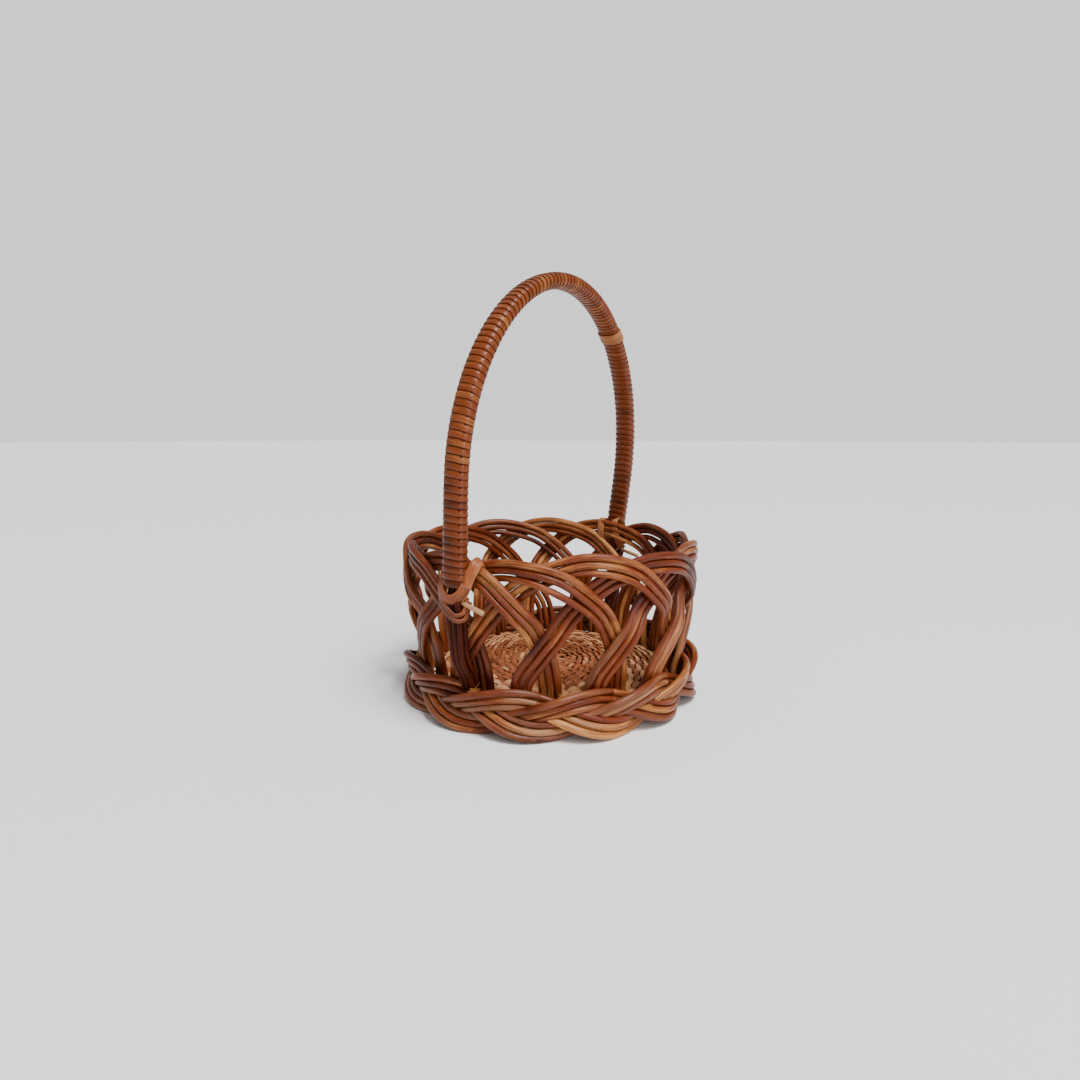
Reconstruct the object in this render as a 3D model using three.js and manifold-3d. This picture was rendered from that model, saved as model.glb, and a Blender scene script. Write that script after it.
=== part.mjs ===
// Round willow fruit basket with a tall bow handle.
// Millimetres, +Z up. The origin is on the table under the middle of the basket.
// The handle's bow stands over the X axis, so its two legs are at -X and +X.
// The open side is thirteen overlapping arches of willow, the foot is a plait of three layers
// of strands, and the bottom is a woven disc on crossed sticks.
import * as THREE from 'three';
import { mergeVertices } from 'three/addons/utils/BufferGeometryUtils.js';
import Module from 'manifold-3d';

const DEGREE = Math.PI / 180;

// Fits between neighbours
const TOUCH_GAP = 0.35;
const WEAVE_GAP = 1.35;           // between two arches where they cross
const SLEEVE_GAP = 0.35;
const STRAND_EDGE_GAP = 0.2;      // left over above and below the three strands of the plait
const PLAIT_ROOM = 1.7;           // for the legs to start leaning outwards inside the plait
const DISC_EDGE_GAP = 2.3;        // between the woven bottom and the legs round it
const STICK_SIDE_GAP = 0.8;
const STICK_FLOOR_GAP = 1.7;
const ROD_FOOT_GAP = 0.7;         // between the rods' lower ends and the plait

// The open side
const ARCH_COUNT = 13;
const ARCH_REACH = 3;            // an arch comes down this many stake places further round
const ARCH_TOP = 107.5;          // height of an arch's middle cane at its crown
const ARCH_FOOT = 8;             // height of the lower ends of its legs
const WALL_RADIUS_FOOT = 93.2;
const WALL_FLARE = 11.7;         // how much farther out the wall's middle is at the rim
const FLARE_BOTTOM = 24;         // the wall leans outwards between these two heights
const FLARE_TOP = 95;
const BAND_WIDTH = 14;           // three canes lying side by side
const BAND_THICKNESS = 4.4;
const LEG_GAP = 4.9;             // clear space between two legs at one stake place
const STAKE_TURN = -2.2 * DEGREE; // from the handle's near leg to the nearest stake place
// Bent by hand, so no two arches are quite as tall: how much each crown is above ARCH_TOP.
const CROWN_LIFTS = [1.3, -0.3, 0.2, -0.3, 0.3, 0, 0, 0.2, -0.3, 0.2, 0, 0.3, 0];

// The dent that the tied-on handle leaves in the rim
const DENT_DEPTH = 3.5;
const DENT_SPREAD = 16 * DEGREE;

// The plaited foot
const STRAND_WIDTH = 10.8;
const STRAND_THICKNESS = 4;
const STRAND_END_GAP = 1.2;
const PLAIT_TURN = 1 * DEGREE;   // strand ends lie this far past a stake place
const STRAND_END_PHASE = 135 * DEGREE;
const WORN_FLAT = 0.5;           // how much the table has worn off the lowest canes

// The bottom
const DISC_THICKNESS = 4.4;
const DISC_DOME = 3;
const STICK_DIAMETER = 4.6;
const STICKS_PER_LAYER = 4;
const STICK_STRAIGHT_PART = 20;  // the sticks run side by side this far from the middle

// The handle: six rods in two rows of three, wound with flat cane
const ROD_DIAMETER = 4.5;
const RODS_IN_A_ROW = 3;
const SLEEVE_WALL = 0.9;
const SLEEVE_END_SHARE = 0.88;   // the winding's lower ends, as a share of the arches' height
const BOW_SHOULDER = 168;        // height where the legs start to curve
const BOW_CROWN = 300;         // height of the bow's centre line at the top
const BOW_LEAN = 15.5;           // how far the crown has leaned sideways
const BOW_TWIST = 3;             // how far each leg's upper part has moved to its own side
const SPLICE_FROM = 49.5 * DEGREE;
const SPLICE_TO = 53.5 * DEGREE;
const SPLICE_WALL = 0.8;

// Ties and pegs
const STRAP_THICKNESS = 1.1;
const STRAP_WIDTH = 4.2;
const STRAP_CORNER = 2;
const TIE_SIDE_TURN = 2.6 * DEGREE; // from the winding to the middle of the tie on its left
const STRAP_ROOM = 0.7;          // between a strap and the canes it holds
const STRAP_LOW_SHARE = 0.835;    // a strap's lower edge, as a share of the arches' height
const PEG_DIAMETER = 3;
const PEG_LENGTH = 20;
const PEG_DROP = 9.4;           // below the winding's end
const PEG_SHIFT = 12;            // from the middle of the rods towards the end that shows
const PEG_TILT = 16 * DEGREE;

// Sizes that follow from the ones above
const STAKE_STEP = 2 * Math.PI / ARCH_COUNT;
const WEAVE_SHIFT = (BAND_THICKNESS + WEAVE_GAP) / 2;
const WALL_OUTSIDE = WEAVE_SHIFT + BAND_THICKNESS / 2;  // from the wall's middle to its outer face
const LEG_TURN = (BAND_WIDTH + LEG_GAP) / 2 / WALL_RADIUS_FOOT;
const ARCH_SPAN = ARCH_REACH * STAKE_STEP + 2 * LEG_TURN;
const PLAIT_HEIGHT = 3 * STRAND_WIDTH + STRAND_EDGE_GAP;  // a plait of three strands
const LEG_SIDE = 0.6;                                   // how far a foot stands in or out of line
const LEG_OUTSIDE = LEG_SIDE * WEAVE_SHIFT + BAND_THICKNESS / 2;
const STRAND_SPAN = ARCH_REACH * STAKE_STEP;
const STRAND_SWAY = (PLAIT_HEIGHT + WORN_FLAT - STRAND_WIDTH) / 2;
const STRAND_DEPTH = 0.8 * STRAND_THICKNESS;
const PLAIT_MIDDLE = (PLAIT_HEIGHT - WORN_FLAT) / 2;
const PLAIT_INNER = WALL_RADIUS_FOOT + LEG_OUTSIDE + PLAIT_ROOM + TOUCH_GAP;
const PLAIT_RADIUS = PLAIT_INNER + STRAND_DEPTH + STRAND_THICKNESS / 2;
const DISC_RADIUS = WALL_RADIUS_FOOT - LEG_OUTSIDE - DISC_EDGE_GAP;
const STICK_PITCH = STICK_DIAMETER + STICK_SIDE_GAP;
const STICK_LAYER_STEP = STICK_DIAMETER + TOUCH_GAP;
const LOWER_STICKS = STICK_FLOOR_GAP + STICK_DIAMETER / 2;
const DISC_BOTTOM = LOWER_STICKS + STICK_LAYER_STEP + STICK_DIAMETER / 2 + TOUCH_GAP;
const DISC_EDGE_TOP = DISC_BOTTOM + DISC_THICKNESS;
const ROD_RADIUS = ROD_DIAMETER / 2;
const ROD_PITCH = ROD_DIAMETER + TOUCH_GAP;
const BUNDLE_THROUGH = ROD_PITCH / 2 + ROD_RADIUS;      // half of the rods' bundle, towards the axis
const BUNDLE_ACROSS = (RODS_IN_A_ROW - 1) / 2 * ROD_PITCH + ROD_RADIUS;
const SLEEVE_GROW = SLEEVE_GAP + SLEEVE_WALL;           // from the bundle to the winding's outside
const SLEEVE_END = SLEEVE_END_SHARE * ARCH_TOP;
const HANDLE_REACH = handleReach(ARCH_TOP);
const PEG_HEIGHT = SLEEVE_END - PEG_DROP;
const PEG_SLOT = PEG_DIAMETER + TOUCH_GAP;              // how far the outer rods bulge round a peg
const PEG_SPREAD = 1.35 * PEG_DIAMETER;                  // the bulge fades this far above and below

const WILLOW = 0x9a4a1f;
const WILLOW_DARK = 0x6e2c15;
const WILLOW_PALE = 0xb07048;

const wasm = await Module();
wasm.setup();
const basket = new THREE.Group();

// Adds one named piece with its own willow material.
function addPiece(name, geometry, color, roughness) {
  const material = new THREE.MeshStandardMaterial({ color, roughness, metalness: 0 });
  const mesh = new THREE.Mesh(geometry, material);
  mesh.name = name;
  basket.add(mesh);
  return mesh;
}

// A curve whose flat section keeps facing one chosen way, such as away from the basket's axis.
// Its samples keep to the given points, so they are closest together where the points are.
class FacingCurve extends THREE.CatmullRomCurve3 {
  constructor(points, facing) {
    super(points, false, 'centripetal');
    this.facing = facing;
  }

  getSpacedPoints(divisions) {
    return this.getPoints(divisions);
  }

  computeFrenetFrames(segments) {
    const tangents = [];
    const normals = [];
    const binormals = [];
    for (let i = 0; i <= segments; i++) {
      const along = i / segments;
      const tangent = this.getTangent(along);
      const normal = this.facing(this.getPoint(along));
      normal.addScaledVector(tangent, -normal.dot(tangent)).normalize();
      tangents.push(tangent);
      normals.push(normal);
      binormals.push(new THREE.Vector3().crossVectors(tangent, normal));
    }
    return { tangents, normals, binormals };
  }
}

function awayFromAxis(point) {
  return new THREE.Vector3(point.x, point.y, 0).normalize();
}

// A regular outline with its corners on a circle.
function roundOutline(radius, sides) {
  const corners = [];
  for (let i = 0; i < sides; i++) {
    const turn = 2 * Math.PI * (i + 0.5) / sides;
    corners.push(new THREE.Vector2(radius * Math.cos(turn), radius * Math.sin(turn)));
  }
  return corners;
}

// An oblong with round corners, as grown by a gap from a bundle of rods. x is across, y is through.
function oblongOutline(grow) {
  const round = ROD_RADIUS + grow;
  const corners = [];
  [[1, 1], [-1, 1], [-1, -1], [1, -1]].forEach(([across, through], quarter) => {
    const middle = new THREE.Vector2(
      across * (BUNDLE_ACROSS - ROD_RADIUS),
      through * (BUNDLE_THROUGH - ROD_RADIUS),
    );
    for (let step = 0; step <= 2; step++) {
      const turn = (quarter + step / 2) * Math.PI / 2;
      corners.push(new THREE.Vector2(round * Math.cos(turn), round * Math.sin(turn)).add(middle));
    }
  });
  return corners;
}

// The section of canes lying side by side: a flat bar with its long edges rounded off.
function bandSection(thickness, width) {
  const side = thickness / 2;
  const edge = width / 2;
  const shoulder = edge - side;
  const tip = thickness / 5;
  return new THREE.Shape([
    new THREE.Vector2(side, -shoulder), new THREE.Vector2(side, shoulder),
    new THREE.Vector2(tip, edge), new THREE.Vector2(-tip, edge),
    new THREE.Vector2(-side, shoulder), new THREE.Vector2(-side, -shoulder),
    new THREE.Vector2(-tip, -edge), new THREE.Vector2(tip, -edge),
  ]);
}

function sweep(section, path, steps) {
  return new THREE.ExtrudeGeometry(section, { extrudePath: path, steps });
}

// A point given by its turn round the basket, its distance from the axis and its height.
function around(turn, radius, height) {
  return new THREE.Vector3(radius * Math.cos(turn), radius * Math.sin(turn), height);
}

// The middle of the woven wall: it flares towards the rim, and dents in at the two handle legs.
function wallRadius(turn, height) {
  const rise = THREE.MathUtils.clamp((height - FLARE_BOTTOM) / (FLARE_TOP - FLARE_BOTTOM), 0, 1);
  const flare = Math.sin(rise * Math.PI / 2);
  const fromLeg = Math.asin(Math.abs(Math.sin(turn)));
  const dent = DENT_DEPTH * Math.exp(-((fromLeg / DENT_SPREAD) ** 2));
  return WALL_RADIUS_FOOT + (WALL_FLARE - dent) * flare;
}

// How far the handle's centre line is from the axis at a height: it lies against the wall.
function handleReach(height) {
  const wallFace = wallRadius(Math.PI, height) + WALL_OUTSIDE;
  return wallFace + TOUCH_GAP + BUNDLE_THROUGH + SLEEVE_GROW;
}

// One arch's route: [share of its span, share of its crown height, +1 outside or -1 inside].
const ARCH_ROUTE = [
  [0, 0.073, LEG_SIDE], [0.002, 0.2, LEG_SIDE], [0.021, 0.34, 0.9], [0.087, 0.498, 1],
  [0.138, 0.61, 0.85], [0.195, 0.73, -0.85], [0.249, 0.813, -1], [0.335, 0.913, -1],
  [0.43, 0.968, -1], [0.53, 1, -0.7], [0.61, 1, 0.5], [0.69, 0.975, 1],
  [0.758, 0.927, 1], [0.821, 0.845, 1], [0.885, 0.744, 0.8], [0.935, 0.635, -0.9],
  [0.972, 0.502, -1], [0.994, 0.365, -0.95], [1, 0.22, -LEG_SIDE], [1, 0.073, -LEG_SIDE],
];
const CROWN_SHARPNESS = 18;      // a lift fades this fast below the crown

function stakeTurn(place) {
  return Math.PI + STAKE_TURN + place * STAKE_STEP;
}

function archGeometry(place) {
  const start = stakeTurn(place) - LEG_TURN;
  const points = ARCH_ROUTE.map(([share, rise, side]) => {
    const turn = start + share * ARCH_SPAN;
    const lift = CROWN_LIFTS[place] * rise ** CROWN_SHARPNESS;
    const height = Math.max(rise * ARCH_TOP + lift, ARCH_FOOT);
    return around(turn, wallRadius(turn, height) + side * WEAVE_SHIFT, height);
  });
  const path = new FacingCurve(points, awayFromAxis);
  return sweep(bandSection(BAND_THICKNESS, BAND_WIDTH), path, 28);
}

function addArches() {
  for (let place = 0; place < ARCH_COUNT; place++) {
    addPiece(`arch_${place + 1}`, archGeometry(place), WILLOW, 0.45);
  }
}

// A solid made from a closed geometry, for trimming.
function toSolid(geometry) {
  const bare = geometry.clone();
  bare.deleteAttribute('normal');
  bare.deleteAttribute('uv');
  const merged = mergeVertices(bare, 1e-4);
  return new wasm.Manifold(new wasm.Mesh({
    numProp: 3,
    vertProperties: new Float32Array(merged.attributes.position.array),
    triVerts: new Uint32Array(merged.index.array),
  }));
}

function toGeometry(solid) {
  const mesh = solid.getMesh();
  const geometry = new THREE.BufferGeometry();
  geometry.setAttribute('position', new THREE.BufferAttribute(mesh.vertProperties, 3));
  geometry.setIndex(new THREE.BufferAttribute(mesh.triVerts, 1));
  geometry.computeVertexNormals();
  return geometry;
}

// A strand of the plait sways up and down once over three stake places, and goes in and out twice,
// so that it passes outside while it climbs to the top edge or falls to the bottom edge.
function strandGeometry(place) {
  const start = stakeTurn(place) + PLAIT_TURN;
  const span = STRAND_SPAN - STRAND_END_GAP / PLAIT_RADIUS;
  const points = [];
  const pointCount = 24;
  for (let i = 0; i <= pointCount; i++) {
    const turn = start + span * i / pointCount;
    const phase = STRAND_END_PHASE + 2 * Math.PI * (turn - start) / STRAND_SPAN;
    const radius = PLAIT_RADIUS + STRAND_DEPTH * Math.sin(2 * phase);
    points.push(around(turn, radius, PLAIT_MIDDLE + STRAND_SWAY * Math.sin(phase)));
  }
  const path = new FacingCurve(points, awayFromAxis);
  const strand = toSolid(sweep(bandSection(STRAND_THICKNESS, STRAND_WIDTH), path, 22));
  const wide = 3 * PLAIT_RADIUS;
  const worn = new THREE.BoxGeometry(wide, wide, PLAIT_HEIGHT).translate(0, 0, -PLAIT_HEIGHT / 2);
  return toGeometry(strand.subtract(toSolid(worn)));
}

function addPlait() {
  for (let place = 0; place < ARCH_COUNT; place++) {
    addPiece(`foot_strand_${place + 1}`, strandGeometry(place), WILLOW, 0.5);
  }
}

// The woven bottom: a low dome that closes on the axis.
function addDisc() {
  const part = 0.6;
  const profile = [
    new THREE.Vector2(0, DISC_BOTTOM), new THREE.Vector2(DISC_RADIUS, DISC_BOTTOM),
    new THREE.Vector2(DISC_RADIUS, DISC_EDGE_TOP),
    new THREE.Vector2(DISC_RADIUS * part, DISC_EDGE_TOP + DISC_DOME * (1 - part ** 2)),
    new THREE.Vector2(0, DISC_EDGE_TOP + DISC_DOME),
  ];
  const disc = new THREE.LatheGeometry(profile, 36).rotateX(Math.PI / 2);
  addPiece('base_weave', disc, WILLOW_PALE, 0.7);
}

// The sticks lie side by side at the middle in two crossed layers, and fan out to the edge.
function addSticks() {
  const fanStep = Math.PI / (2 * STICKS_PER_LAYER);
  const section = new THREE.Shape(roundOutline(STICK_DIAMETER / 2, 6));
  for (let layer = 0; layer < 2; layer++) {
    const height = LOWER_STICKS + layer * STICK_LAYER_STEP;
    for (let i = 0; i < STICKS_PER_LAYER; i++) {
      const place = i - (STICKS_PER_LAYER - 1) / 2;
      const reach = DISC_RADIUS - 2;
      const fan = place * fanStep;
      const halfRoute = [
        [STICK_STRAIGHT_PART, place * STICK_PITCH],
        [reach * 0.6 * Math.cos(fan), reach * 0.6 * Math.sin(fan)],
        [reach * Math.cos(fan), reach * Math.sin(fan)],
      ];
      const route = [
        ...halfRoute.map(([x, y]) => [-x, y]).reverse(), [0, place * STICK_PITCH], ...halfRoute,
      ];
      const points = route.map(([x, y]) => new THREE.Vector3(x, y, height));
      const path = new THREE.CatmullRomCurve3(points, false, 'centripetal');
      const stick = sweep(section, path, 10).rotateZ((1 - layer) * Math.PI / 2);
      addPiece(`base_stick_${layer * STICKS_PER_LAYER + i + 1}`, stick, WILLOW_PALE, 0.7);
    }
  }
}

// Where the handle's centre line is along Y. It leans towards -Y with its height above the rim, and
// is twisted: the half at +X moves to -Y and the half at -X to +Y. side is 1 at +X and -1 at -X.
function asideAt(side, height) {
  const lean = Math.max(0, height - ARCH_TOP) / (BOW_CROWN - ARCH_TOP);
  const twist = THREE.MathUtils.smoothstep(height, SLEEVE_END, BOW_SHOULDER);
  return -BOW_LEAN * lean - BOW_TWIST * side * twist;
}

// A point on the half ellipse of the bow, moved outwards from its centre line and along Y.
function bowPoint(turn, outwards, along) {
  const rise = BOW_CROWN - BOW_SHOULDER;
  const outward = new THREE.Vector2(rise * Math.cos(turn), HANDLE_REACH * Math.sin(turn)).normalize();
  const height = BOW_SHOULDER + rise * Math.sin(turn);
  return new THREE.Vector3(
    HANDLE_REACH * Math.cos(turn) + outwards * outward.x,
    asideAt(Math.cos(turn), height) + along,
    height + outwards * outward.y,
  );
}

const BOW_STEPS = 30;

function bowPoints(outwards, along) {
  const points = [];
  for (let i = 0; i <= BOW_STEPS; i++) {
    points.push(bowPoint(Math.PI * (1 - i / BOW_STEPS), outwards, along));
  }
  return points;
}

// A leg's straight part from the winding's end to the shoulder. side is -1 at -X, +1 at +X.
function legPoint(side, height, outwards, along) {
  return new THREE.Vector3(side * (HANDLE_REACH + outwards), asideAt(side, height) + along, height);
}

// Where the sloping peg passes the first lane of rods.
const PEG_PASS = PEG_HEIGHT + (PEG_SHIFT - ROD_PITCH) * Math.tan(PEG_TILT);

// Below the winding the rods run on down, close to the wall, to the plait's top edge. The outer
// row bulges round the peg that is pushed between the rows. It starts at the lower end.
function rodFoot(side, outer, along) {
  const foot = PLAIT_HEIGHT + ROD_FOOT_GAP;
  const low = PEG_PASS - 2 * PEG_SPREAD;
  const heights = [0, 0.33, 0.67].map((share) => THREE.MathUtils.lerp(foot, low, share));
  [-2, -1, -0.5, 0, 0.5, 1].forEach((share) => heights.push(PEG_PASS + share * PEG_SPREAD));
  return heights.map((height) => {
    const bulge = PEG_SLOT * Math.exp(-(((height - PEG_PASS) / PEG_SPREAD) ** 2));
    const outwards = outer * ROD_PITCH / 2 + (outer > 0 ? bulge : 0);
    return new THREE.Vector3(side * (handleReach(height) + outwards), along, height);
  });
}

function addRods() {
  const section = new THREE.Shape(roundOutline(ROD_RADIUS, 6));
  const legHeights = [SLEEVE_END, (SLEEVE_END + BOW_SHOULDER) / 2];
  let count = 0;
  for (const outer of [1, -1]) {
    for (let lane = 0; lane < RODS_IN_A_ROW; lane++) {
      const outwards = outer * ROD_PITCH / 2;
      const along = (lane - (RODS_IN_A_ROW - 1) / 2) * ROD_PITCH;
      const near = legHeights.map((height) => legPoint(-1, height, outwards, along));
      const far = legHeights.map((height) => legPoint(1, height, outwards, along));
      const points = [
        ...rodFoot(-1, outer, along), ...near, ...bowPoints(outwards, along),
        ...far.reverse(), ...rodFoot(1, outer, along).reverse(),
      ];
      const path = new FacingCurve(points, () => new THREE.Vector3(0, 1, 0));
      count += 1;
      addPiece(`handle_rod_${count}`, sweep(section, path, points.length - 1), WILLOW_DARK, 0.5);
    }
  }
}

// A closed wall round the rods: it starts one gap outside them and is as thick as given.
function sleeveSection(gap, wall) {
  const section = new THREE.Shape(oblongOutline(gap + wall));
  section.holes.push(new THREE.Path(oblongOutline(gap).reverse()));
  return section;
}

// The flat cane wound round the rods, as one sleeve, and the thicker ring where two lengths meet.
function addWinding() {
  const sidewaysFacing = () => new THREE.Vector3(0, 1, 0);
  const legHeights = [SLEEVE_END, (SLEEVE_END + BOW_SHOULDER) / 2];
  const points = [
    ...legHeights.map((height) => legPoint(-1, height, 0, 0)), ...bowPoints(0, 0),
    ...legHeights.map((height) => legPoint(1, height, 0, 0)).reverse(),
  ];
  const path = new FacingCurve(points, sidewaysFacing);
  addPiece('handle_winding', sweep(sleeveSection(SLEEVE_GAP, SLEEVE_WALL), path, points.length - 1), WILLOW, 0.35);

  const splicePoints = [0, 0.5, 1].map((share) => {
    return bowPoint(THREE.MathUtils.lerp(SPLICE_FROM, SPLICE_TO, share), 0, 0);
  });
  const splicePath = new FacingCurve(splicePoints, sidewaysFacing);
  const spliceSection = sleeveSection(SLEEVE_GROW + TOUCH_GAP, SPLICE_WALL);
  addPiece('handle_splice_ring', sweep(spliceSection, splicePath, 2), WILLOW_PALE, 0.4);
}

// A flat cane tie: a closed strap standing round the crossed arches of the rim beside a leg.
function strapGeometry(turn) {
  const wall = wallRadius(turn, ARCH_TOP);
  const inner = wall - WALL_OUTSIDE - STRAP_ROOM;
  const outer = wall + WALL_OUTSIDE + STRAP_ROOM;
  const low = STRAP_LOW_SHARE * ARCH_TOP;
  const top = ARCH_TOP + BAND_WIDTH / 2 + STRAP_ROOM;
  const frame = (grow) => [
    new THREE.Vector2(inner - grow, low - grow), new THREE.Vector2(outer + grow, low - grow),
    new THREE.Vector2(outer + grow, top - STRAP_CORNER + grow),
    new THREE.Vector2(outer - STRAP_CORNER + grow, top + grow),
    new THREE.Vector2(inner + STRAP_CORNER - grow, top + grow),
    new THREE.Vector2(inner - grow, top - STRAP_CORNER + grow),
  ];
  const section = new THREE.Shape(frame(STRAP_THICKNESS));
  section.holes.push(new THREE.Path(frame(0).reverse()));
  const strap = new THREE.ExtrudeGeometry(section, { depth: STRAP_WIDTH, bevelEnabled: false });
  return strap.translate(0, 0, -STRAP_WIDTH / 2).rotateX(Math.PI / 2).rotateZ(turn);
}

// Each tie stands where two arches cross, so that one strap holds both.
const TIE_TURNS = {
  tie_near: Math.PI + 7.6 * DEGREE,
  tie_far_right: 11.6 * DEGREE,
  tie_far_left: -TIE_SIDE_TURN - (BUNDLE_ACROSS + SLEEVE_GROW) / HANDLE_REACH,
};

function addTies() {
  for (const [name, turn] of Object.entries(TIE_TURNS)) {
    addPiece(name, strapGeometry(turn), WILLOW_PALE, 0.4);
  }
}

// Each peg is pushed between the two rows of rods, sloping down to the end that shows.
function addPegs() {
  [['peg_near', -1], ['peg_far', 1]].forEach(([name, side]) => {
    const peg = new THREE.CylinderGeometry(PEG_DIAMETER / 2, PEG_DIAMETER / 2, PEG_LENGTH, 8);
    peg.rotateX(PEG_TILT);
    peg.translate(side * (handleReach(PEG_HEIGHT) + PEG_SLOT / 2), -PEG_SHIFT, PEG_HEIGHT);
    addPiece(name, peg, WILLOW_PALE, 0.6);
  });
}

addArches();
addPlait();
addDisc();
addSticks();
addRods();
addWinding();
addTies();
addPegs();

export default basket;
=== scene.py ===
"""A small round fruit basket of stained willow: open arches of three canes, a plaited foot,
a woven base and a tall bow handle wound with split cane. All sizes are in metres."""
import bpy
import numpy as np
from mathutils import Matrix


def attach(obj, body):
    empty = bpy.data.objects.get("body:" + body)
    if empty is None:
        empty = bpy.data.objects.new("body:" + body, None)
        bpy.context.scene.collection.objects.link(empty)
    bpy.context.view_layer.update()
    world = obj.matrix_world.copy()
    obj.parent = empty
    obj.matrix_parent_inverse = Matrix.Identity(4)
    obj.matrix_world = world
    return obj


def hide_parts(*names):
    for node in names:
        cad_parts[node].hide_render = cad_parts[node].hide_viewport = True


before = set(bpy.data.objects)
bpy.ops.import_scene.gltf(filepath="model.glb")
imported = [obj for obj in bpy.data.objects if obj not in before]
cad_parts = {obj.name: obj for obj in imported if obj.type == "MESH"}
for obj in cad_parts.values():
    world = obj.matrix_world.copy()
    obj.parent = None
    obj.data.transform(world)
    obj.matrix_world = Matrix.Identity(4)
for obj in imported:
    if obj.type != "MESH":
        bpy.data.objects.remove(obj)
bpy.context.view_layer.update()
chance = np.random.default_rng(13)

# ---------------------------------------------------------------- sizes shared with the solid model
# the open side
TOUCH_GAP = 0.00035
ARCH_COUNT = 13
ARCH_REACH = 3                      # an arch comes down this many stake places further round
ARCH_TOP = 0.1075                   # height of an arch's middle cane at its crown
ARCH_FOOT = 0.008                   # height of the lower ends of its legs
WALL_RADIUS_FOOT = 0.0932
WALL_RADIUS_RIM = 0.1049
FLARE_BOTTOM = 0.024                # the wall leans outwards between these two heights
FLARE_TOP = 0.095
BAND_WIDTH = 0.014                  # three canes lying side by side
BAND_THICKNESS = 0.0044
LEG_GAP = 0.0049                    # clear space between two legs at one stake place
STAKE_TURN = np.radians(-2.2)       # from the handle's near leg to the nearest stake place
DENT_DEPTH = 0.0035                 # the dent that each leg of the handle leaves in the rim
DENT_SPREAD = np.radians(16)
WEAVE_SHIFT = 0.00285               # how far a crossing arch stands outside or inside the wall's middle
WALL_OUTSIDE = WEAVE_SHIFT + BAND_THICKNESS / 2
STAKE_STEP = 2 * np.pi / ARCH_COUNT
LEG_TURN = (BAND_WIDTH + LEG_GAP) / 2 / WALL_RADIUS_FOOT
ARCH_SPAN = ARCH_REACH * STAKE_STEP + 2 * LEG_TURN

# each row: share of the span, share of the height, and outside (+) or inside (-) of its neighbours
ARCH_ROUTE = np.array([
    [0, .073, .6], [.002, .2, .6], [.021, .34, .9], [.087, .498, 1], [.138, .61, .85],
    [.195, .73, -.85], [.249, .813, -1], [.335, .913, -1], [.43, .968, -1], [.53, 1, -.7],
    [.61, 1, .5], [.69, .975, 1], [.758, .927, 1], [.821, .845, 1], [.885, .744, .8],
    [.935, .635, -.9], [.972, .502, -1], [.994, .365, -.95], [1, .22, -.6], [1, .073, -.6]])
# how much each crown is above the common height, and how fast that fades below the crown
CROWN_LIFTS = [.0026, -.0006, .0002, -.0003, .0003, 0, 0, .0002, -.0003, .0002, 0, .0003, -.0012]
CROWN_SHARPNESS = 12

CANE_RADIUS = 0.00245
INNER_CANE_RADIUS = 0.0022
CANE_SPACING = 0.0048

# the plaited foot
PLAIT_RADIUS = 0.1041
PLAIT_MIDDLE = 0.0161
PLAIT_SWAY = 0.0094                 # how far a strand goes up and down
PLAIT_DEPTH = 0.0032                # how far it goes in and out
PLAIT_TURN = np.radians(1)          # strand ends lie this far past a stake place
STRAND_START_PHASE = np.radians(135)
STRAND_SPAN = ARCH_REACH * STAKE_STEP
PLAIT_CANE_RADIUS = 0.00232
PLAIT_CANE_SPACING = 0.0045

# the bottom
DISC_RADIUS = 0.0873
DISC_MIDDLE = 0.0138                # height of the woven disc's middle at its edge
DISC_DOME = 0.003
STICK_RADIUS = 0.0023
STICK_PITCH = 0.0054
STICK_STRAIGHT_PART = 0.020
STICKS_PER_LAYER = 4
LOWER_STICKS = 0.004
STICK_LAYER_STEP = 0.00495

# the handle
ROD_RADIUS = 0.00225
ROD_PITCH = 0.00485
RODS_IN_A_ROW = 3
SLEEVE_THROUGH = 0.005925           # half of the wound handle, towards the axis
SLEEVE_ACROSS = 0.00835             # and across
BOW_SHOULDER = 0.168                # height where the legs start to curve
BOW_CROWN = 0.300
BOW_LEAN = 0.0155                   # how far the crown has leaned sideways
BOW_TWIST = 0.003                   # how far each leg's upper part has moved to its own side
WINDING_END = 0.0946                # height of the winding's lower ends
ROD_GATHER = .72                    # the rods come this much closer together at the foot
ROD_LOW_END = 0.027                 # height of their lower ends, inside the plait
ROD_TUCK = 0.0065                   # how far they tuck in behind the plait
PEG_RADIUS = 0.0015
PEG_LENGTH = 0.020
PEG_HEIGHT = WINDING_END - 0.0094
PEG_SHIFT = 0.012                   # from the middle of the rods towards the end that shows
PEG_TILT = np.radians(16)
PEG_SLOT = 0.0022                   # how far the outer rods bulge round a peg
PEG_SPREAD = 0.00405                # the bulge fades this far above and below


def unit(vectors):
    """Each vector divided by its own length."""
    return vectors / np.linalg.norm(vectors, axis=-1, keepdims=True)


def stake_turn(place):
    """Angle round the basket of a stake place; place 0 is beside the near foot of the handle."""
    return np.pi + STAKE_TURN + place * STAKE_STEP


def wall_radius(turn, height):
    """Radius of the wall: the foot radius plus a sine flare towards the rim, less a round dent
    that falls off as a bell curve of the angle from the nearest handle leg."""
    rise = np.clip((height - FLARE_BOTTOM) / (FLARE_TOP - FLARE_BOTTOM), 0, 1)
    from_leg = np.arcsin(np.clip(np.abs(np.sin(turn)), 0, 1))
    dent = DENT_DEPTH * np.exp(-(from_leg / DENT_SPREAD) ** 2)
    return WALL_RADIUS_FOOT + (WALL_RADIUS_RIM - WALL_RADIUS_FOOT - dent) * np.sin(rise * np.pi / 2)


def handle_reach(height):
    """How far the handle's centre line is from the axis: the wall's radius at the leg plus the weave
    outside it, a small gap and half of the wound handle's thickness."""
    return wall_radius(np.pi, height) + WALL_OUTSIDE + TOUCH_GAP + SLEEVE_THROUGH


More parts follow.
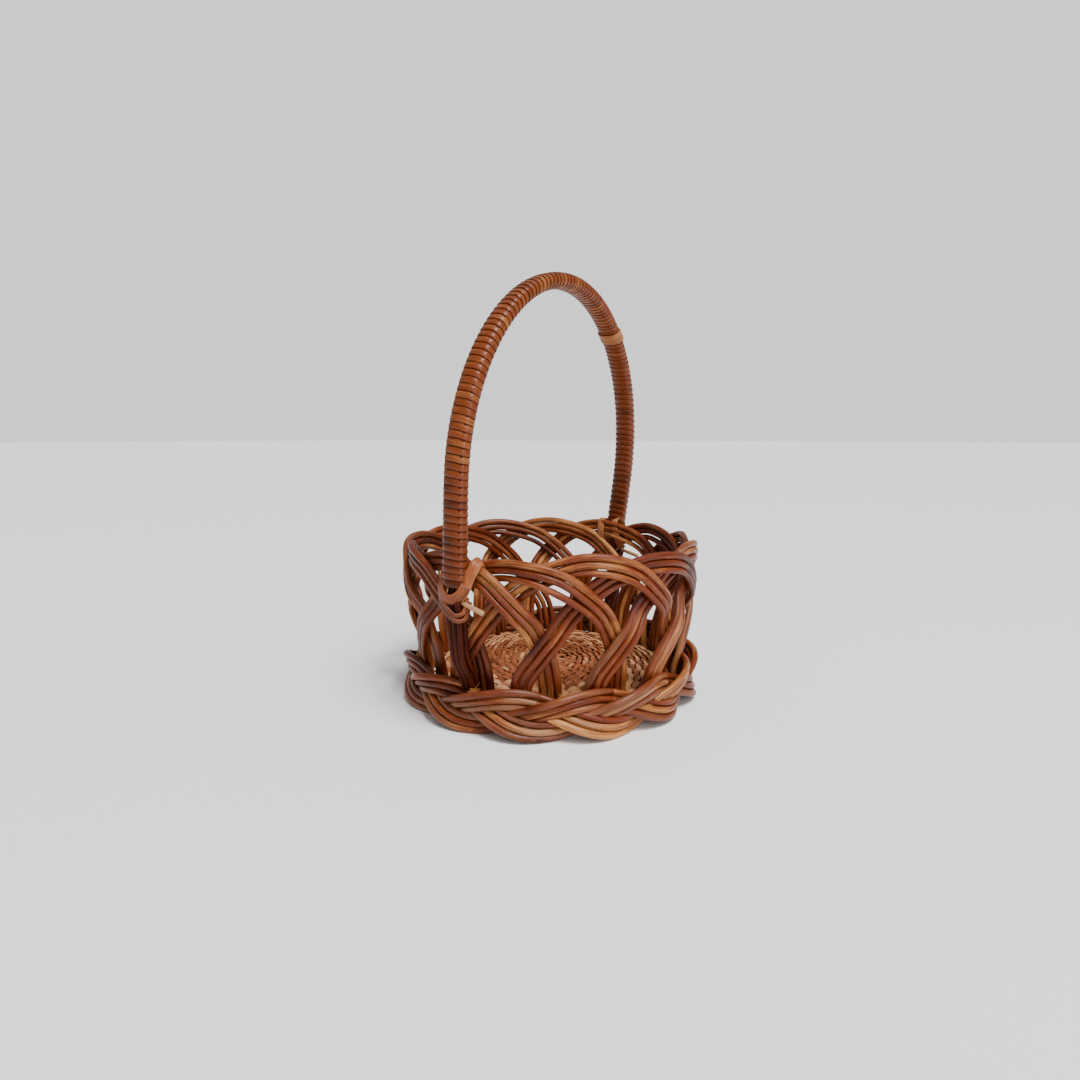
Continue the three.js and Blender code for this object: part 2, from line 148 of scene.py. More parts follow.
HANDLE_REACH = float(handle_reach(ARCH_TOP))


def around(turn, radius, height):
    """Points at an angle and a radius round the upright axis, at a height."""
    turn, radius, height = np.broadcast_arrays(turn, radius, height)
    return np.stack([radius * np.cos(turn), radius * np.sin(turn), height], axis=-1)


def evenly(points, count):
    """The same line of points resampled so that they are evenly spaced along its length."""
    gone = np.concatenate([[0], np.cumsum(np.linalg.norm(np.diff(points, axis=0), axis=1))])
    at = np.linspace(0, gone[-1], count)
    return np.stack([np.interp(at, gone, points[:, k]) for k in range(points.shape[1])], axis=1)


def smooth_route(points, count):
    """A centripetal Catmull-Rom curve: each stretch blends the four points round it, with knots
    spaced by the square root of the distance between them. It comes back evenly spaced."""
    points = np.asarray(points, float)
    p = np.vstack([2 * points[0] - points[1], points, 2 * points[-1] - points[-2]])
    knots = np.concatenate([[0], np.cumsum(np.sqrt(np.linalg.norm(np.diff(p, axis=0), axis=1)))])
    t = np.linspace(knots[1], knots[-2] - 1e-9, 16 * len(points))
    i = np.clip(np.searchsorted(knots, t, side="right") - 1, 1, len(p) - 3)
    t = t[:, None]
    k = [knots[i + n][:, None] for n in (-1, 0, 1, 2)]
    q = [p[i + n] for n in (-1, 0, 1, 2)]

    def blend(a, b, start, end):
        return a + (b - a) * (t - start) / (end - start)

    a1, a2, a3 = (blend(q[n], q[n + 1], k[n], k[n + 1]) for n in range(3))
    b1, b2 = blend(a1, a2, k[0], k[2]), blend(a2, a3, k[1], k[3])
    return evenly(blend(b1, b2, k[1], k[2]), count)


def directions(route, away=None):
    """Along, outward and across directions at each point of a route. Outward is the direction away
    from the upright axis, or the one given, made square to the route; across is along x outward."""
    along = unit(np.gradient(route, axis=0))
    away = unit(route * [1, 1, 0]) if away is None else np.broadcast_to(away, route.shape)
    out = unit(away - np.sum(away * along, axis=1, keepdims=True) * along)
    return along, out, np.cross(along, out)


def smooth_step(value):
    """A smooth step from 0 to 1: three times the square less twice the cube of the clipped value."""
    value = np.clip(value, 0, 1)
    return value ** 2 * (3 - 2 * value)


def power(wave, exponent):
    """A cosine or sine raised to a power with its sign kept, which squares up a ring or rounds it."""
    return np.sign(wave) * np.abs(wave) ** exponent


def wander(count, size, waves=4):
    """A slow random drift along a cane, of about the given size: a few sine waves of random phase,
    each of them weaker in step with its number."""
    share = np.linspace(0, 1, count)
    total = np.zeros(count)
    for wave in range(1, waves + 1):
        total += np.sin(2 * np.pi * (wave * share * .8 + chance.random())) / wave
    return total * size / 1.5


# ---------------------------------------------------------------- profiles and carried shapes
SHARP_EDGE = np.radians(55)         # edges steeper than this aren't smoothed


def round_profile(sides):
    """A circle: outward is cos a, across is sin a, for a going once round."""
    a = np.arange(sides) * 2 * np.pi / sides
    return np.stack([np.cos(a), np.sin(a)], axis=1)


def split_profile(sides, crown=.35, corner=.45):
    """A split cane, wide and thin: a rounded oblong whose outer face bulges by the crown share.
    Cosine and sine raised to a low power square it up."""
    a = (np.arange(sides) + .5) * 2 * np.pi / sides
    out, across = power(np.cos(a), corner), power(np.sin(a), corner)
    out = np.where(out > 0, out * (1 - crown * across ** 2), out)
    return np.stack([out, across], axis=1)


def carried(route, out, across, profile, half_out, half_across, tone=.5, worn=0., end_bevel=.25):
    """A profile carried along a route: each vertex is the route point plus the profile's outward and
    across shares times the half sizes there. Both ends get a small bevel and are closed. The grain
    is the place within the section and the length along, moved at random so that no two canes match,
    tone runs from dark to light, worn is how weathered the cane is, and cut is 1 at its ends."""
    along = unit(np.cross(out, across))
    half_out = np.broadcast_to(half_out, len(route)).astype(float)
    half_across = np.broadcast_to(half_across, len(route)).astype(float)
    bevel = end_bevel * min(half_out[0], half_across[0])
    shrink = 1 - end_bevel

    def ends(values, first, last):
        return np.concatenate([[first], values, [last]])

    route_on = ends(route, route[0] - along[0] * bevel, route[-1] + along[-1] * bevel)
    out_on, across_on = ends(out, out[0], out[-1]), ends(across, across[0], across[-1])
    size_out = ends(half_out, half_out[0] * shrink, half_out[-1] * shrink)
    size_across = ends(half_across, half_across[0] * shrink, half_across[-1] * shrink)
    rows, sides = len(route_on), len(profile)
    share_out = size_out[:, None] * profile[None, :, 0]
    share_across = size_across[:, None] * profile[None, :, 1]
    offset = share_out[..., None] * out_on[:, None] + share_across[..., None] * across_on[:, None]
    verts = route_on[:, None] + offset
    gone = np.concatenate([[0], np.cumsum(np.linalg.norm(np.diff(route_on, axis=0), axis=1))])
    grain = np.stack([share_out, share_across, np.broadcast_to(gone[:, None], share_out.shape)], axis=-1)
    cut = np.zeros((rows, sides))
    cut[[0, -1]] = 1
    i, j = np.meshgrid(np.arange(rows - 1), np.arange(sides), indexing="ij")
    k = (j + 1) % sides
    quads = np.stack([i * sides + j, i * sides + k, (i + 1) * sides + k, (i + 1) * sides + j], axis=-1)
    ring = np.arange(sides)
    turn_on = (ring + 1) % sides
    first, last = rows * sides, rows * sides + 1
    base = (rows - 1) * sides
    tris = np.concatenate([np.stack([np.full(sides, first), turn_on, ring], axis=1),
                           np.stack([np.full(sides, last), base + ring, base + turn_on], axis=1)])
    every = rows * sides + 2
    tone = np.broadcast_to(tone, len(route)) if np.ndim(tone) else np.full(len(route), tone)
    tone_rows = np.repeat(ends(tone, tone[0], tone[-1]), sides)
    middle = [[0, 0, gone[0]], [0, 0, gone[-1]]]
    return {"verts": np.concatenate([verts.reshape(-1, 3), route_on[[0, -1]]]),
            "quads": quads.reshape(-1, 4), "tris": tris,
            "grain": np.concatenate([grain.reshape(-1, 3), middle]) + chance.random(3) * [.2, .2, 9],
            "tone": np.concatenate([tone_rows, tone[[0, -1]]]),
            "worn": np.full(every, worn), "cut": np.concatenate([cut.ravel(), [1, 1]])}


def make_piece(name, parts, slot, nodes=(), finish=None):
    """One mesh object from several carried shapes, with the grain, tone, worn and cut attributes. It
    takes the finish of its slot's name unless another is given."""
    starts = np.concatenate([[0], np.cumsum([len(p["verts"]) for p in parts])])[:-1]
    faces = []
    for p, start in zip(parts, starts):
        faces += (p["quads"] + start).tolist() + (p["tris"] + start).tolist()
    mesh = bpy.data.meshes.new(name)
    mesh.from_pydata(np.concatenate([p["verts"] for p in parts]).tolist(), [], faces)
    for key, kind, field in (("grain", "FLOAT_VECTOR", "vector"), ("tone", "FLOAT", "value"),
                             ("worn", "FLOAT", "value"), ("cut", "FLOAT", "value")):
        values = np.concatenate([p[key] for p in parts]).astype(np.float32)
        mesh.attributes.new(key, kind, "POINT").data.foreach_set(field, values.ravel())
    mesh.polygons.foreach_set("use_smooth", np.ones(len(mesh.polygons), bool))
    mesh.set_sharp_from_angle(angle=SHARP_EDGE)
    mesh.update()
    piece = bpy.data.objects.new(name, mesh)
    bpy.context.scene.collection.objects.link(piece)
    mesh.materials.append(finishes[finish or slot])
    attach(piece, "root")
    if nodes:
        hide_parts(*nodes)
    return piece


# ---------------------------------------------------------------- finishes
def socket(group, name, kind, side, value=None):
    """A named input or output on a node group."""
    made = group.interface.new_socket(name=name, in_out=side, socket_type=kind)
    if value is not None:
        made.default_value = value
    return made


def stained_cane_group():
    """The colour, shine and small relief of stained cane. Three noises on the grain attribute, from
    slow patches to thin streaks along the cane, add to the cane's tone (random, and on the base weavers
    also painted shade and painted highlight) and pick a colour between the dark, body and light stains;
    dark specks, pale scuffs and the pale cut ends go on top."""
    group = bpy.data.node_groups.new("stained_cane", "ShaderNodeTree")
    colours = {"Dark": (.028, .0025, .0006, 1), "Body": (.135, .0215, .0036, 1),
               "Light": (.52, .215, .062, 1), "Weathered": (.24, .125, .062, 1),
               "Pith": (.42, .24, .12, 1)}
    for name, value in colours.items():
        socket(group, name, "NodeSocketColor", "INPUT", value)
    for name, value in (("Streaks", .75), ("Patches", .7), ("Base Roughness", .32)):
        socket(group, name, "NodeSocketFloat", "INPUT", value)
    socket(group, "Colour", "NodeSocketColor", "OUTPUT")
    socket(group, "Roughness", "NodeSocketFloat", "OUTPUT")
    socket(group, "Height", "NodeSocketFloat", "OUTPUT")
    nodes, links = group.nodes, group.links
    given, result = nodes.new("NodeGroupInput"), nodes.new("NodeGroupOutput")

    def attribute(name):
        node = nodes.new("ShaderNodeAttribute")
        node.attribute_name = name
        return node

    def maths(operation, a, b=None, c=None, clamp=False):
        node = nodes.new("ShaderNodeMath")
        node.operation, node.use_clamp = operation, clamp
        for at, value in enumerate((a, b, c)):
            if value is None:
                continue
            if isinstance(value, (int, float)):
                node.inputs[at].default_value = value
            else:
                links.new(value, node.inputs[at])
        return node.outputs[0]

    def noise(crosswise, lengthwise, detail=2.0, rough=.5):
        """Noise stretched along the cane; the sizes are the spot's breadth and length in metres."""
        place = nodes.new("ShaderNodeMapping")
        place.inputs["Scale"].default_value = (1 / crosswise, 1 / crosswise, 1 / lengthwise)
        links.new(grain, place.inputs["Vector"])
        node = nodes.new("ShaderNodeTexNoise")
        node.inputs["Scale"].default_value = 1
        node.inputs["Detail"].default_value = detail
        node.inputs["Roughness"].default_value = rough
        links.new(place.outputs[0], node.inputs["Vector"])
        return node.outputs["Fac"]

    def stretch(value, low, high, to_low=0., to_high=1.):
        node = nodes.new("ShaderNodeMapRange")
        node.inputs["From Min"].default_value, node.inputs["From Max"].default_value = low, high
        node.inputs["To Min"].default_value, node.inputs["To Max"].default_value = to_low, to_high
        node.interpolation_type = "SMOOTHSTEP"
        links.new(value, node.inputs["Value"])
        return node.outputs["Result"]

    def mix(share, a, b):
        node = nodes.new("ShaderNodeMix")
        node.data_type = "RGBA"
        links.new(share, node.inputs["Factor"])
        links.new(a, node.inputs["A"])
        links.new(b, node.inputs["B"])
        return node.outputs["Result"]

    grain = attribute("grain").outputs["Vector"]
    tone, worn, cut = (attribute(n).outputs["Fac"] for n in ("tone", "worn", "cut"))
    patches, along, streaks = noise(.006, .028, 3), noise(.05, .05, 1), noise(.0008, .016, 3, .6)
    specks, scuffs = noise(.0006, .0009, 2, .7), noise(.0022, .006, 5, .75)
    level = maths("MULTIPLY_ADD", maths("SUBTRACT", patches, .5), given.outputs["Patches"], tone)
    level = maths("MULTIPLY_ADD", maths("SUBTRACT", along, .5), .8, level)
    level = maths("MULTIPLY_ADD", maths("SUBTRACT", streaks, .5), given.outputs["Streaks"], level)
    stain = mix(stretch(level, 0, .5), given.outputs["Dark"], given.outputs["Body"])
    stain = mix(stretch(level, .5, 1), stain, given.outputs["Light"])
    weathered = maths("MULTIPLY", stretch(patches, .35, .7), worn, clamp=True)
    stain = mix(weathered, stain, given.outputs["Weathered"])
    stain = mix(maths("MULTIPLY", stretch(scuffs, .60, .74), .45), stain, given.outputs["Light"])
    stain = mix(maths("MULTIPLY", stretch(specks, .66, .76), .75), stain, given.outputs["Dark"])
    stain = mix(cut, stain, given.outputs["Pith"])
    links.new(stain, result.inputs["Colour"])
    rough = maths("MULTIPLY_ADD", stretch(scuffs, .4, .75), .25, given.outputs["Base Roughness"])
    links.new(maths("MULTIPLY_ADD", cut, .3, rough, clamp=True), result.inputs["Roughness"])
    relief = maths("MULTIPLY_ADD", streaks, .6, maths("MULTIPLY", patches, .4))
    links.new(maths("MULTIPLY_ADD", stretch(specks, .62, .8), -.35, relief), result.inputs["Height"])
    return group


cane_effect = stained_cane_group()


RELIEF_SHARE = .5
RELIEF_DEPTH = 0.0006
COAT_ROUGHNESS = .25


def cane_finish(name, colours=None, roughness=None, coat=.05, shine=.22):
    """A stained cane finish: the shared effect with its own colours and base roughness, on a lightly
    lacquered surface. Shine is the strength of the plain reflection and coat that of the lacquer."""
    finish = bpy.data.materials.new(name)
    finish.use_nodes = True
    nodes, links = finish.node_tree.nodes, finish.node_tree.links
    skin = nodes["Principled BSDF"]
    effect = nodes.new("ShaderNodeGroup")
    effect.node_tree = cane_effect
    for key, value in (colours or {}).items():
        effect.inputs[key].default_value = value
    if roughness is not None:
        effect.inputs["Base Roughness"].default_value = roughness
    bump = nodes.new("ShaderNodeBump")
    bump.inputs["Strength"].default_value = RELIEF_SHARE
    bump.inputs["Distance"].default_value = RELIEF_DEPTH
    links.new(effect.outputs["Height"], bump.inputs["Height"])
    links.new(effect.outputs["Colour"], skin.inputs["Base Color"])
    links.new(effect.outputs["Roughness"], skin.inputs["Roughness"])
    links.new(bump.outputs["Normal"], skin.inputs["Normal"])
    skin.inputs["Specular IOR Level"].default_value = shine
    skin.inputs["Coat Weight"].default_value = coat
    skin.inputs["Coat Roughness"].default_value = COAT_ROUGHNESS
    return finish


finishes = {
    "arch_cane": cane_finish("arch_cane"),
    "foot_cane": cane_finish("foot_cane"),
    "base_cane": cane_finish(
        "base_cane", {"Dark": (.08, .015, .004, 1), "Body": (.215, .060, .019, 1),
                      "Light": (.60, .30, .14, 1)}, roughness=.5, coat=0.),
    "base_stick_wood": cane_finish("base_stick_wood", roughness=.5, coat=0.),
    # painted shade: the rods' stains are much darker than those of the other canes, to paint in the shade
    # that falls on them between the wall, the plait and the winding's lower end
    "handle_rod_wood": cane_finish(
        "handle_rod_wood", {"Dark": (.016, .0015, .0005, 1), "Body": (.055, .0080, .0020, 1),
                            "Light": (.14, .032, .010, 1)}, coat=0., shine=.08),
    "winding_cane": cane_finish(
        "winding_cane", {"Dark": (.026, .0028, .0006, 1), "Body": (.150, .0300, .0052, 1),
                         "Light": (.33, .118, .030, 1)}, roughness=.26, coat=.12),
    "splice_cane": cane_finish(
        "splice_cane", {"Body": (.27, .095, .034, 1)}, roughness=.34, coat=.08),
    "tie_cane": cane_finish(
        "tie_cane", {"Body": (.22, .055, .015, 1), "Light": (.44, .19, .07, 1)}, roughness=.4),
    "peg_wood": cane_finish(
        "peg_wood", {"Body": (.36, .17, .075, 1), "Light": (.55, .32, .17, 1)}, roughness=.5, coat=0.),
}


# ---------------------------------------------------------------- arches
ARCH_STEPS = 130
CANE_SIDES = 12
FOOT_SPREAD = .10                   # how much farther apart the canes are at an arch's feet
INNER_CANE_PULL = 0.0002            # the inner cane lies this much closer to its neighbour
SAG_LENGTH = .12                    # an inner cane's sag fades this share of the arch away
SLIT_LENGTH = .055
# arches whose inner cane has sprung away: share of the way along and width of the gap
SLITS = {12: (.63, .0024), 2: (.45, .0012)}


def arch_middle(place):
    """The middle line of an arch: the route's shares laid round the wall from the place's left foot,
    in front of or behind its neighbours by the weave shift."""
    turn = stake_turn(place) - LEG_TURN + ARCH_ROUTE[:, 0] * ARCH_SPAN
    lift = CROWN_LIFTS[place] * ARCH_ROUTE[:, 1] ** CROWN_SHARPNESS
    height = np.maximum(ARCH_ROUTE[:, 1] * ARCH_TOP + lift, ARCH_FOOT)
    radius = wall_radius(turn, height) + ARCH_ROUTE[:, 2] * WEAVE_SHIFT
    return smooth_route(around(turn, radius, height), ARCH_STEPS)


def make_arch(place):
    """Three round canes side by side along the arch's middle line: outer, middle and a thinner inner
    one. Each drifts a little, they spread at the feet, and the inner one may sag away from the rest."""
    middle = arch_middle(place)
    _, out, across = directions(middle)
    share = np.linspace(0, 1, ARCH_STEPS)
    spread = 1 + FOOT_SPREAD * np.abs(2 * share - 1) ** 3
    sag_at, sag = .5 + .3 * (chance.random() - .5), .0012 * chance.random() ** 2
    canes = []
    arch_tone = .49 + .26 * (chance.random() - .5)
    for lane, radius in ((-1, CANE_RADIUS), (0, CANE_RADIUS), (1, INNER_CANE_RADIUS)):
        aside = lane * CANE_SPACING * spread + wander(ARCH_STEPS, .0002)
        if lane == 1:
            aside += sag * np.exp(-((share - sag_at) / SAG_LENGTH) ** 2) - INNER_CANE_PULL
            slit_at, slit_width = SLITS.get(place, (0, 0))
            aside += slit_width * np.exp(-((share - slit_at) / SLIT_LENGTH) ** 2)
        lift = wander(ARCH_STEPS, .00025)
        route = middle + aside[:, None] * across + lift[:, None] * out
        thick = radius * (1 + wander(ARCH_STEPS, .04)) * (1 + .05 * (share - .5) * chance.choice([-1, 1]))
        _, cane_out, cane_across = directions(route)
        tone = arch_tone + .30 * (chance.random() - .5) + .10 * (share - .5) * chance.choice([-1, 1])
        canes.append(carried(route, cane_out, cane_across, round_profile(CANE_SIDES), thick, thick,
                             tone=tone, worn=.6 * chance.random() ** 3))
    return make_piece(f"arch_canes_{place + 1}", canes, "arch_cane", [f"arch_{place + 1}"])


for place in range(ARCH_COUNT):
    make_arch(place)


# ---------------------------------------------------------------- plaited foot
STRAND_STEPS = 120


def make_foot_strand(place):
    """Three canes that run together through the plait. The strand sways up and down once over its
    span, moves in and out twice, and rolls a little so that its canes stay side by side."""
    start = stake_turn(place) + PLAIT_TURN
    share = np.linspace(0, 1, STRAND_STEPS)
    turn = start + share * STRAND_SPAN
    phase = STRAND_START_PHASE + 2 * np.pi * share
    slope = PLAIT_SWAY * 2 * np.pi / (STRAND_SPAN * PLAIT_RADIUS) * np.cos(phase)
    upright = 1 / np.sqrt(1 + slope ** 2)
    canes = []
    for lane in (-1, 0, 1):
        aside = lane * PLAIT_CANE_SPACING
        height = PLAIT_MIDDLE + PLAIT_SWAY * np.sin(phase) + aside * upright + wander(STRAND_STEPS, .0002)
        depth = PLAIT_DEPTH * np.sin(2 * phase) + aside * 2 * PLAIT_DEPTH / PLAIT_SWAY * np.cos(phase) * .8
        slide = -aside * slope * upright / PLAIT_RADIUS
        route = around(turn + slide, PLAIT_RADIUS + depth + wander(STRAND_STEPS, .0002), height)
        radius = PLAIT_CANE_RADIUS * (1 + wander(STRAND_STEPS, .04))
        _, out, across = directions(route)
        canes.append(carried(route, out, across, round_profile(CANE_SIDES), radius, radius,
                             tone=.52 + .4 * (chance.random() - .5), worn=.9 * chance.random() ** 2))
    return make_piece(f"foot_canes_{place + 1}", canes, "foot_cane", [f"foot_strand_{place + 1}"])


for place in range(ARCH_COUNT):
    make_foot_strand(place)


# ---------------------------------------------------------------- woven base
# each zone of the base: number of spokes, radius where they start and radius where they end
BASE_ZONES = [(13, .011, .030), (27, .027, .053), (39, .050, .0885)]
WEAVER_PITCH = 0.0050
WEAVER_START = 0.003                # radius where the weavers start
WEAVER_STEPS_A_SPOKE = 7
WEAVER_HALF_WIDTH = 0.00175
WEAVER_HALF_THICKNESS = 0.0006
WEAVER_RISE = 0.0017                # how far a weaver goes over and under the spokes' middle
WEAVER_TIP = np.radians(7)
WEAVER_SLANT = 0.0012
WAVE_FROM, WAVE_FADE = 0.010, 0.004     # radius where the wave starts, and how fast it grows
SLANT_FROM, SLANT_FADE = 0.014, 0.010   # the same for the slant
SPOKE_STEPS = 12
SPOKE_HALF_THICKNESS = 0.0012
SPOKE_HALF_WIDTH = 0.0013
CROSS_HALF_LENGTH = 0.0105
CROSS_SPACING = 0.0032
CROSS_STEPS = 10
CROSS_HALF_THICKNESS = 0.0007
CROSS_HALF_WIDTH = 0.0015
CROSS_LIFT = 0.0010                 # how far the cross's lower sticks stand above the disc's middle
CROSS_LAYER_STEP = 0.0007
UPRIGHT = np.array([0, 0, 1.])


def disc_height(radius):
    """The middle height of the woven disc: a low dome that falls as the square of the radius."""
    return DISC_MIDDLE + DISC_DOME * (1 - (radius / DISC_RADIUS) ** 2)


def base_weaver(way):
    """One of two flat split canes wound outwards in a spiral. It goes over one spoke and under the
    next as a sine of half the zone's spoke count, so with an odd count each turn alternates with the
    last. Way is 1 or -1, and the second cane goes over where the first goes under. Both are tipped,
    so that each turn leans on the one inside it, and slant as the cosine of the same angle, so that
    every stretch that shows runs a little outwards. The wave and the slant fade in near the middle."""
    counts, starts, _ = zip(*BASE_ZONES)
    turns = (DISC_RADIUS - WEAVER_START) / WEAVER_PITCH
    steps = int(turns * counts[2] * WEAVER_STEPS_A_SPOKE)
    turn = np.linspace(0, turns * 2 * np.pi, steps)
    radius = WEAVER_START + WEAVER_PITCH * turn / (2 * np.pi)
    spokes = np.select([radius < starts[1], radius < starts[2]], counts[:2], counts[2])
    wave_grows = np.clip((radius - WAVE_FROM) / WAVE_FADE, 0, 1)
    wave = way * np.sin(turn * spokes / 2 + wander(steps, .25, 60)) * wave_grows
    height = disc_height(radius) + WEAVER_RISE * wave
    slant_grows = np.clip((radius - SLANT_FROM) / SLANT_FADE, 0, 1)
    slant = WEAVER_SLANT * way * np.cos(turn * spokes / 2) * slant_grows
    route = around(turn, radius + slant + wander(steps, .0004, 90), height)
    _, up, _ = directions(route, UPRIGHT)
    tip = WEAVER_TIP + wander(steps, .2, 120) + .25 * wave
    face = unit(np.cos(tip)[:, None] * up + np.sin(tip)[:, None] * unit(route * [1, 1, 0]))
    _, face, across = directions(route, face)
    # painted shade and painted highlight: the tone falls where the weaver dips under a spoke and rises
    # where it rides over one, on top of its random drift
    tone = .52 + wander(steps, .30, 150) + .14 * wave
    width = WEAVER_HALF_WIDTH * (1 + wander(steps, .12, 120))
    return carried(route, face, across, split_profile(8), WEAVER_HALF_THICKNESS, width, tone=tone)


def base_spokes():
    """Straight rods in three zones with more of them farther out, on the dome's middle height, and
    the cross of flat sticks that starts the weave."""
    spokes = []
    for across_x in (False, True):
        for place in (-1, 0, 1):
            way = np.linspace(-CROSS_HALF_LENGTH, CROSS_HALF_LENGTH, CROSS_STEPS)
            aside = np.full(CROSS_STEPS, place * CROSS_SPACING)
            height = np.full(CROSS_STEPS, disc_height(0) + CROSS_LIFT + CROSS_LAYER_STEP * across_x)
            flat = (way, aside) if across_x else (aside, way)
            route = np.stack([*flat, height], axis=1)
            _, up, across = directions(route, UPRIGHT)
            spokes.append(carried(route, up, across, split_profile(8), CROSS_HALF_THICKNESS,
                                  CROSS_HALF_WIDTH, tone=.5))
    for count, start, end in BASE_ZONES:
        for spoke in range(count):
            turn = (spoke + .5) * 2 * np.pi / count + chance.normal(0, .012)
            radius = np.linspace(start, end + .003 * chance.random(), SPOKE_STEPS)
            route = around(turn, radius, disc_height(radius))
            _, up, across = directions(route, UPRIGHT)
            spokes.append(carried(route, up, across, round_profile(8), SPOKE_HALF_THICKNESS,
                                  SPOKE_HALF_WIDTH, tone=.5 + .3 * (chance.random() - .5)))
    return spokes


make_piece("base_woven_cane", [base_weaver(1), base_weaver(-1)] + base_spokes(),
           "base_cane", ["base_weave"])


# ---------------------------------------------------------------- bow handle
def bow_aside(side, height):
    """Where the handle's middle is along Y: a lean towards -Y in step with the height above the rim,
    and a twist that moves the half at +X to -Y and the half at -X to +Y as a smooth step of height."""
    lean = np.clip(height - ARCH_TOP, 0, None) / (BOW_CROWN - ARCH_TOP)
    rise = smooth_step((height - WINDING_END) / (BOW_SHOULDER - WINDING_END))
    return -BOW_LEAN * lean - BOW_TWIST * side * rise


BOW_STEPS = 181
LEG_STEPS = 20


def bow_line(count):
    """The middle line of the bow: up the near leg, over a half ellipse and down the far leg."""
    angle = np.linspace(0, np.pi, BOW_STEPS)
    legs = np.linspace(WINDING_END, BOW_SHOULDER, LEG_STEPS)[:-1]
    side = np.concatenate([np.full(len(legs), -1), -np.cos(angle), np.full(len(legs), 1)])
    z = np.concatenate([legs, BOW_SHOULDER + (BOW_CROWN - BOW_SHOULDER) * np.sin(angle), legs[::-1]])
    return evenly(np.stack([side * HANDLE_REACH, bow_aside(side, z), z], axis=1), count)


def bow_directions(line):
    """Along the bow, outwards in its own plane, and sideways."""
    along = unit(np.gradient(line, axis=0))
    side = np.array([0, -1., 0])
    out = unit(np.cross(side, along))
    return along, out, np.cross(along, out)


WINDING_PITCH = 0.0047
WINDING_HALF_THICKNESS = 0.00075
WINDING_TURN_GAP = 0.00006          # half of the gap between two turns
WINDING_STEPS_A_TURN = 28
WINDING_SPARE_STEPS = 1.15          # more steps, because some turns are closer together
WINDING_SQUARENESS = .8
WINDING_TIP = np.radians(10)
WINDING_TIGHTER = .26               # how much closer together the turns are past the crown
TIGHT_AT, TIGHT_LENGTH = .62, .13   # where, as shares of the way along
SPLICE_FROM, SPLICE_TO = 54, 49.3   # degrees round the bow from the far leg
SPLICE_PITCH = 0.0046
SPLICE_GROW = 0.0012                # how far the splice stands out from the winding


def wound_band(name, line, pitch, grow, tip_angle, tighter, finish, node):
    """A flat cane wound round a line as a helix. Its angle falls as the way along grows, and its ring
    is an ellipse squared up by taking cosine and sine to a low power. The face looks along the
    ellipse's own normal, and each turn tips so that one edge rides up on the last turn. The turns come
    closer together past the crown, as a bell curve of the share of the way along."""
    length = np.linalg.norm(np.diff(line, axis=0), axis=1).sum()
    steps = int(length / pitch * WINDING_SPARE_STEPS * WINDING_STEPS_A_TURN)
    line = evenly(line, steps)
    along, out, side = bow_directions(line)
    share = np.linspace(0, 1, steps)
    pitch_there = pitch * (1 - tighter * np.exp(-((share - TIGHT_AT) / TIGHT_LENGTH) ** 2))
    pitch_there *= 1 + wander(steps, .05, 40)
    angle = -np.cumsum(2 * np.pi * length / steps / pitch_there)
    half_through = SLEEVE_THROUGH - WINDING_HALF_THICKNESS + grow + wander(steps, .00014, 80)
    half_across = SLEEVE_ACROSS - WINDING_HALF_THICKNESS + grow + wander(steps, .00014, 80)
    through = half_through * power(np.cos(angle), WINDING_SQUARENESS)
    sideways = half_across * power(np.sin(angle), WINDING_SQUARENESS)
    route = line + through[:, None] * out + sideways[:, None] * side
    face_out = power(np.cos(angle), 2 - WINDING_SQUARENESS) / half_through
    face_side = power(np.sin(angle), 2 - WINDING_SQUARENESS) / half_across
    radial = unit(face_out[:, None] * out + face_side[:, None] * side)
    tip = tip_angle + wander(steps, np.radians(4), 60)
    face = unit(np.cos(tip)[:, None] * radial + np.sin(tip)[:, None] * along)
    _, face, across = directions(route, face)
    width = (pitch_there * .5 - WINDING_TURN_GAP) * (1 + wander(steps, .05, 90))
    tone = .47 + wander(steps, .15, 110)
    band = carried(route, face, across, split_profile(8, crown=.4),
                   WINDING_HALF_THICKNESS, width, tone=tone)
    return make_piece(name, [band], "winding_cane", [node], finish)


def bow_part(angle_from, angle_to):
    """The middle line of the bow between two angles of its half ellipse, counted from the far leg."""
    angle = np.radians(np.linspace(angle_from, angle_to, 40))
    height = BOW_SHOULDER + (BOW_CROWN - BOW_SHOULDER) * np.sin(angle)
    return np.stack([HANDLE_REACH * np.cos(angle), bow_aside(np.cos(angle), height), height], axis=1)


wound_band("handle_winding_cane", bow_line(800), WINDING_PITCH, 0, WINDING_TIP, WINDING_TIGHTER,
           "winding_cane", "handle_winding")
wound_band("handle_splice_cane", bow_part(SPLICE_FROM, SPLICE_TO), SPLICE_PITCH, SPLICE_GROW, 0, 0,
           "splice_cane", "handle_splice_ring")


# ---------------------------------------------------------------- handle rods and pegs
ROD_STEPS = 260
ROD_FOOT_STEPS = 30
GATHER_FROM, GATHER_FADE = 0.06, 0.03   # height where the rods are closest, and how fast they part
TUCK_FROM, TUCK_FADE = 0.052, 0.022     # height where they start to tuck in, and how fast they do
THIN_FROM, THIN_FADE = 0.05, 0.04       # height up to which they are thin, and how fast they thicken
THIN_SHARE, THICKER_SHARE = .8, .17     # how thin they are there, and how much thicker above
ALONG_Y = np.array([0, 1., 0])
ALONG_X = np.array([1., 0, 0])
PEG_STEPS = 24


